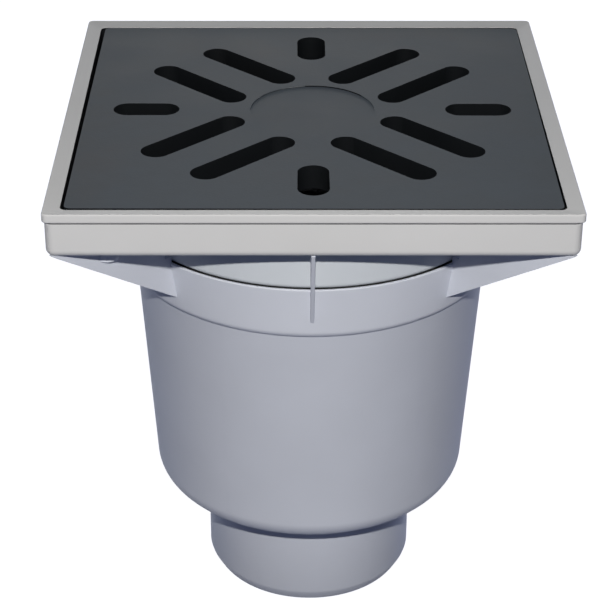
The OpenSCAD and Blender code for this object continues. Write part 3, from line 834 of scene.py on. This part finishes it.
def cast_skin():
    """Dipped grey iron: sand grain, cloudy coat, rust breath, upper edges lighter in
    patches as wear and painted highlight, and steep walls darkened as painted shade."""
    group, given = new_group(
        "Cast skin",
        {
            "Coat": (0.08, 0.09, 0.1, 1),
            "Wear And Glint": (0.3, 0.31, 0.32, 1),
            "Rust": 0.3,
            "Painted Wall Shade": 0.3,
        },
    )
    tree = Tree(group)
    place = tree.place()
    cloud = tree.noise(place, scale=30, detail=6)
    shade = tree.remap(cloud, low=0.3, high=0.7, to_low=0.86, to_high=1.1)
    coat = tree.mix(1, given["Coat"], shade, "MULTIPLY")
    breath = tree.noise(place, scale=14, detail=5)
    rust = tree.remap(breath, low=0.55, high=0.75, to_high=given["Rust"])
    rust_brown = (0.1, 0.075, 0.055, 1)
    rusty = tree.mix(rust, coat, rust_brown)

    # Wear and painted highlight: bevels that face partly upwards are lightened in patches,
    # as worn coat and as glints on the cast edges.
    facing = tree.add("ShaderNodeNewGeometry", {}).outputs["Normal"]
    upward = tree.add("ShaderNodeSeparateXYZ", {"Vector": facing}).outputs["Z"]
    edge = tree.add("ShaderNodeFloatCurve", {"Value": upward})
    curve = edge.mapping.curves[0]
    curve.points[0].location = (0, 0)
    curve.points[1].location = (1, 0)
    for slope, strength in ((0.45, 0), (0.72, 1), (0.93, 0)):
        curve.points.new(slope, strength)
    edge.mapping.update()
    chips = tree.noise(place, scale=70, detail=4)
    patchy = tree.remap(chips, low=0.54, high=0.66)
    wear_and_glint = tree.compute("MULTIPLY", edge.outputs["Value"], patchy)
    colour = tree.mix(wear_and_glint, rusty, given["Wear And Glint"])
    # Painted shade: steep faces such as the slot walls are darkened down to the wall shade
    # factor.
    steep = tree.remap(upward, low=0.25, high=0.6, to_low=given["Painted Wall Shade"])
    put_out(
        group,
        {
            "Colour": tree.mix(1, colour, steep, "MULTIPLY"),
            "Roughness": tree.remap(cloud, low=0, high=1, to_low=0.5, to_high=0.68),
            "Height": tree.noise(place, scale=700, detail=4),
        },
    )
    return group


cast_iron = finished(
    "Dipped cast iron",
    cast_skin(),
    {
        "Coat": (0.062, 0.073, 0.086, 1),
        "Wear And Glint": (0.4, 0.41, 0.42, 1),
        "Rust": 0.15,
        "Painted Wall Shade": 0.1,
    },
    bump=0.5,
    shine=0.05,
)
wear(grate, cast_iron)
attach(grate, "drain")
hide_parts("grate")


# ---- Floor, light and camera ------------------------------------------------------
# A plain floor that looks white to the camera and keeps the shadow, a small lamp just
# over the camera, soft ones above, behind and on both sides, and a faint cool sky.

floor_level = -0.2 * mm
paper_glow = 0.97
nothing_selected()
bpy.ops.mesh.primitive_plane_add(size=12, location=(0, 0, floor_level))
floor = bpy.context.object
floor.name = "floor"


def seen_directly(tree):
    """One for rays from the camera and for those mirrored or let through by a piece."""
    ray = tree.add("ShaderNodeLightPath", {}).outputs
    direct = tree.compute("MAXIMUM", ray["Is Camera Ray"], ray["Is Glossy Ray"])
    return tree.compute("MAXIMUM", direct, ray["Is Transmission Ray"])


paper = bpy.data.materials.new("White paper")
paper.use_nodes = True
paper_tree = Tree(paper.node_tree)
sheet = paper_tree.nodes["Principled BSDF"].inputs
paper_tree.feed(sheet["Base Color"], (0.07, 0.085, 0.16, 1))
paper_tree.feed(sheet["Roughness"], 0.9)
paper_tree.feed(sheet["Emission Color"], (1, 1, 1, 1))
glow = paper_tree.compute("MULTIPLY", seen_directly(paper_tree), paper_glow)
paper_tree.feed(sheet["Emission Strength"], glow)
wear(floor, paper)

sky = bpy.data.worlds.new("Cool sky")
bpy.context.scene.world = sky
sky.use_nodes = True
sky_tree = Tree(sky.node_tree)
ambient = sky_tree.nodes["Background"]
sky_tree.feed(ambient.inputs["Color"], (0.15, 0.35, 1, 1))
sky_tree.feed(ambient.inputs["Strength"], 0.03)
white = sky_tree.add("ShaderNodeBackground", {"Color": (1, 1, 1, 1), "Strength": 1})
shades = {0: seen_directly(sky_tree), 1: ambient.outputs[0], 2: white.outputs[0]}
choice = sky_tree.add("ShaderNodeMixShader", shades)
sky_tree.feed(sky_tree.nodes["World Output"].inputs["Surface"], choice.outputs[0])


def lamp(name, place, aim_height, size, power, colour):
    """A square soft lamp that faces a point on the drain's axis."""
    light = bpy.data.lights.new(name, "AREA")
    light.size = size
    light.energy = power
    light.color = colour
    holder = bpy.data.objects.new(name, light)
    bpy.context.collection.objects.link(holder)
    holder.location = place
    x, y, z = (a - b for a, b in zip((0, 0, aim_height), place))
    holder.rotation_euler = (math.atan2(math.hypot(x, y), -z), 0, math.atan2(-x, y))


lamp("Key", (-0.011, -0.915, 0.772), 0.14, size=0.02, power=9.4, colour=(1, 0.98, 0.94))
lamp("Top fill", (0, 0.1, 1.25), 0.27, size=0.5, power=0.7, colour=(0.9, 0.95, 1))
lamp("Blue side", (0.95, 0.98, 0.1), 0.12, size=0.3, power=4.7, colour=(0.48, 0.58, 1))
lamp("Left fill", (-1.3, 1, 0.25), 0.13, size=0.5, power=3.8, colour=(0.62, 0.74, 1))
lamp("Back fill", (0, 1.6, 0.3), 0.15, size=0.6, power=10, colour=(1, 0.99, 0.96))

# The photo was cropped off centre, so its sight line is not in its middle column. The
# middle is 308; one more shares out the photo's small offset between frame and body.
picture_width = 616
focal_pixels = 1956
sight_column = 289.9
middle_column = 309
camera_tilt = 28.96
camera = bpy.data.objects.new("Camera", bpy.data.cameras.new("Camera"))
bpy.context.collection.objects.link(camera)
camera.location = (-0.0111, -0.9048, 0.6523)
camera.rotation_euler = (math.radians(90 - camera_tilt), 0, 0)
camera.data.sensor_width = 36
camera.data.lens = focal_pixels / picture_width * camera.data.sensor_width
camera.data.shift_x = (middle_column - sight_column) / picture_width
bpy.context.scene.camera = camera
bpy.context.scene.view_settings.view_transform = "Standard"
